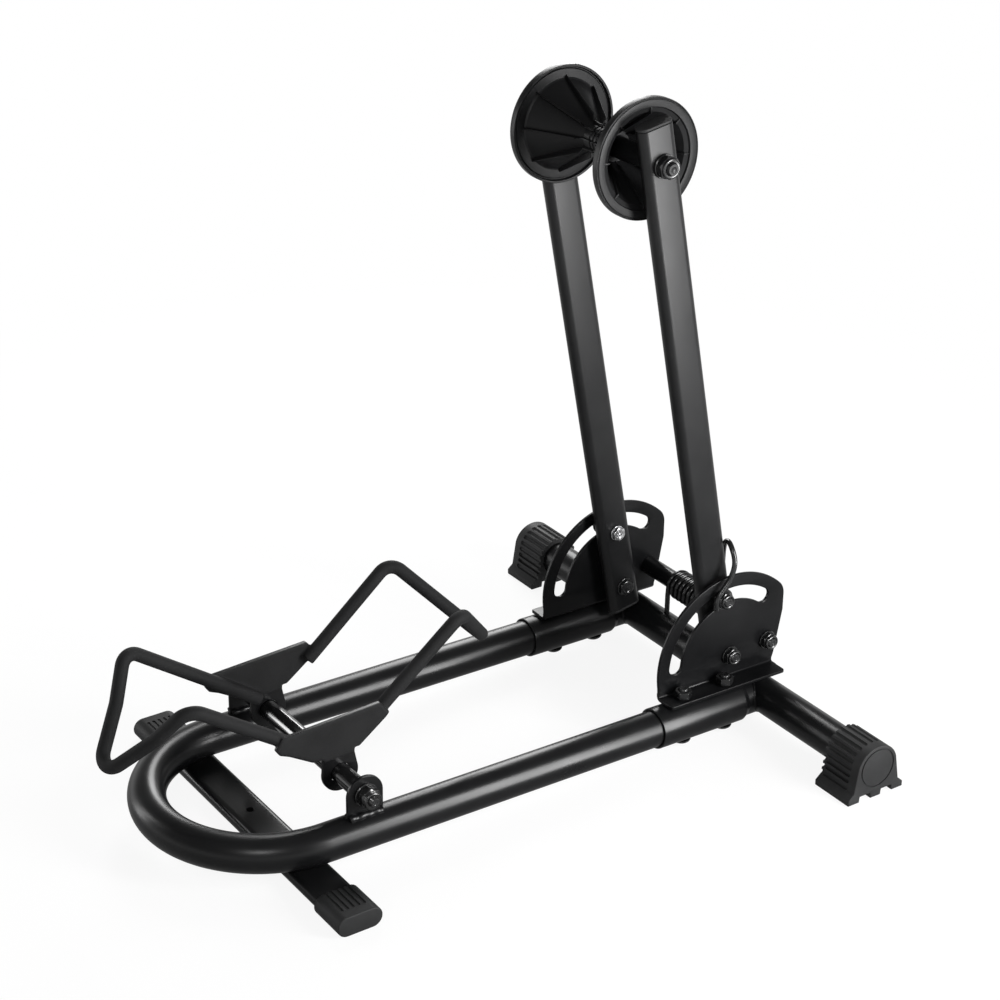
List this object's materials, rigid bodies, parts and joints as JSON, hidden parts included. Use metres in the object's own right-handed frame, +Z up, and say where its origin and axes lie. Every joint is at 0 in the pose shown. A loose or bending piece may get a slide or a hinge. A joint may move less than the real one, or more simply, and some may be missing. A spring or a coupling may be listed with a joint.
{
  "type": "floor bike rack",
  "caption": "Low U-shaped floor stand for a bicycle: a rocking wire cradle takes the wheel and sprung arms with two facing cones hold it upright.",
  "frame": {"origin": "bottom centre of the whole stand, on the floor", "axes": "+Z up, +Y towards the end with the arms, +X to the right seen from the end with the cradle"},
  "size_m": [0.4806, 0.584, 0.5429],
  "materials": {
    "gloss_coat": "semi-gloss black powder coat",
    "satin_coat": "satin black powder coat",
    "cones": "satin black moulded plastic",
    "moulded_feet": "fine-grained dark grey moulded plastic",
    "dip_coating": "fine-grained matt black dip coat over steel",
    "spring_wire": "gloss black coated spring wire",
    "black_fasteners": "gloss black coated steel",
    "zinc": "bright zinc plate"
  },
  "bodies": {
    "frame": {"cradle_bolt": "black_fasteners", "cradle_nut": "black_fasteners", "cradle_tab_left": "gloss_coat", "cradle_tab_right": "gloss_coat", "flange_bolt_left_front": "black_fasteners", "flange_bolt_left_rear": "black_fasteners", "flange_bolt_right_front": "black_fasteners", "flange_bolt_right_rear": "black_fasteners", "flange_nut_left_front": "black_fasteners", "flange_nut_left_rear": "black_fasteners", "flange_nut_right_front": "black_fasteners", "flange_nut_right_rear": "black_fasteners", "front_cap_left": "moulded_feet", "front_cap_right": "moulded_feet", "front_crossbar": "gloss_coat", "pivot_bolt_left": "black_fasteners", "pivot_bolt_right": "black_fasteners", "pivot_bush_left": "black_fasteners", "pivot_bush_right": "black_fasteners", "pivot_nut_left": "black_fasteners", "pivot_nut_right": "black_fasteners", "rear_cross_tube": "gloss_coat", "rear_foot_left": "moulded_feet", "rear_foot_right": "moulded_feet", "side_plate_left": "gloss_coat", "side_plate_right": "gloss_coat", "sleeve_left": "gloss_coat", "sleeve_right": "gloss_coat", "spacer_bolt": "black_fasteners", "spacer_nut": "black_fasteners", "spacer_tube": "gloss_coat", "torsion_spring": "spring_wire", "u_tube": "gloss_coat"},
    "arms": {"arm_left": "satin_coat", "arm_plug_bottom_left": "moulded_feet", "arm_plug_bottom_right": "moulded_feet", "arm_plug_top_left": "moulded_feet", "arm_plug_top_right": "moulded_feet", "arm_right": "satin_coat", "axle_nut_left": "black_fasteners", "axle_nut_right": "black_fasteners", "axle_spacer_left": "moulded_feet", "axle_spacer_right": "moulded_feet", "axle_washer_left": "black_fasteners", "axle_washer_right": "black_fasteners", "slot_bolt_left": "zinc", "slot_bolt_right": "black_fasteners", "slot_bush_left": "black_fasteners", "slot_bush_right": "black_fasteners", "slot_nut_left": "black_fasteners", "slot_nut_right": "black_fasteners", "wheel_axle": "black_fasteners"},
    "cone_left": {"cone_left": "cones"},
    "cone_right": {"cone_right": "cones"},
    "cradle": {"cradle_tube": "gloss_coat", "cradle_wing_left": "dip_coating", "cradle_wing_right": "dip_coating", "cradle_wire_front": "dip_coating", "cradle_wire_rear": "dip_coating"}
  },
  "joints": [
    {"name": "arms_tilt", "type": "hinge", "parent": "frame", "child": "arms", "pos_m": [0, 0.23591, 0.06339], "axis": [1, 0, 0], "range_deg": [-45.5, 54], "stiffness_Nm_per_rad": 6, "springref_deg": -4.79, "deforming": ["torsion_spring"]},
    {"name": "cone_left_spin", "type": "hinge", "parent": "arms", "child": "cone_left", "pos_m": [0, 0.15712, 0.49587], "axis": [1, 0, 0], "continuous": true},
    {"name": "cone_right_spin", "type": "hinge", "parent": "arms", "child": "cone_right", "pos_m": [0, 0.15712, 0.49587], "axis": [1, 0, 0], "continuous": true},
    {"name": "cradle_rock", "type": "hinge", "parent": "frame", "child": "cradle", "pos_m": [0, -0.12176, 0.06146], "axis": [1, 0, 0], "range_deg": [-30, 30]}
  ]
}
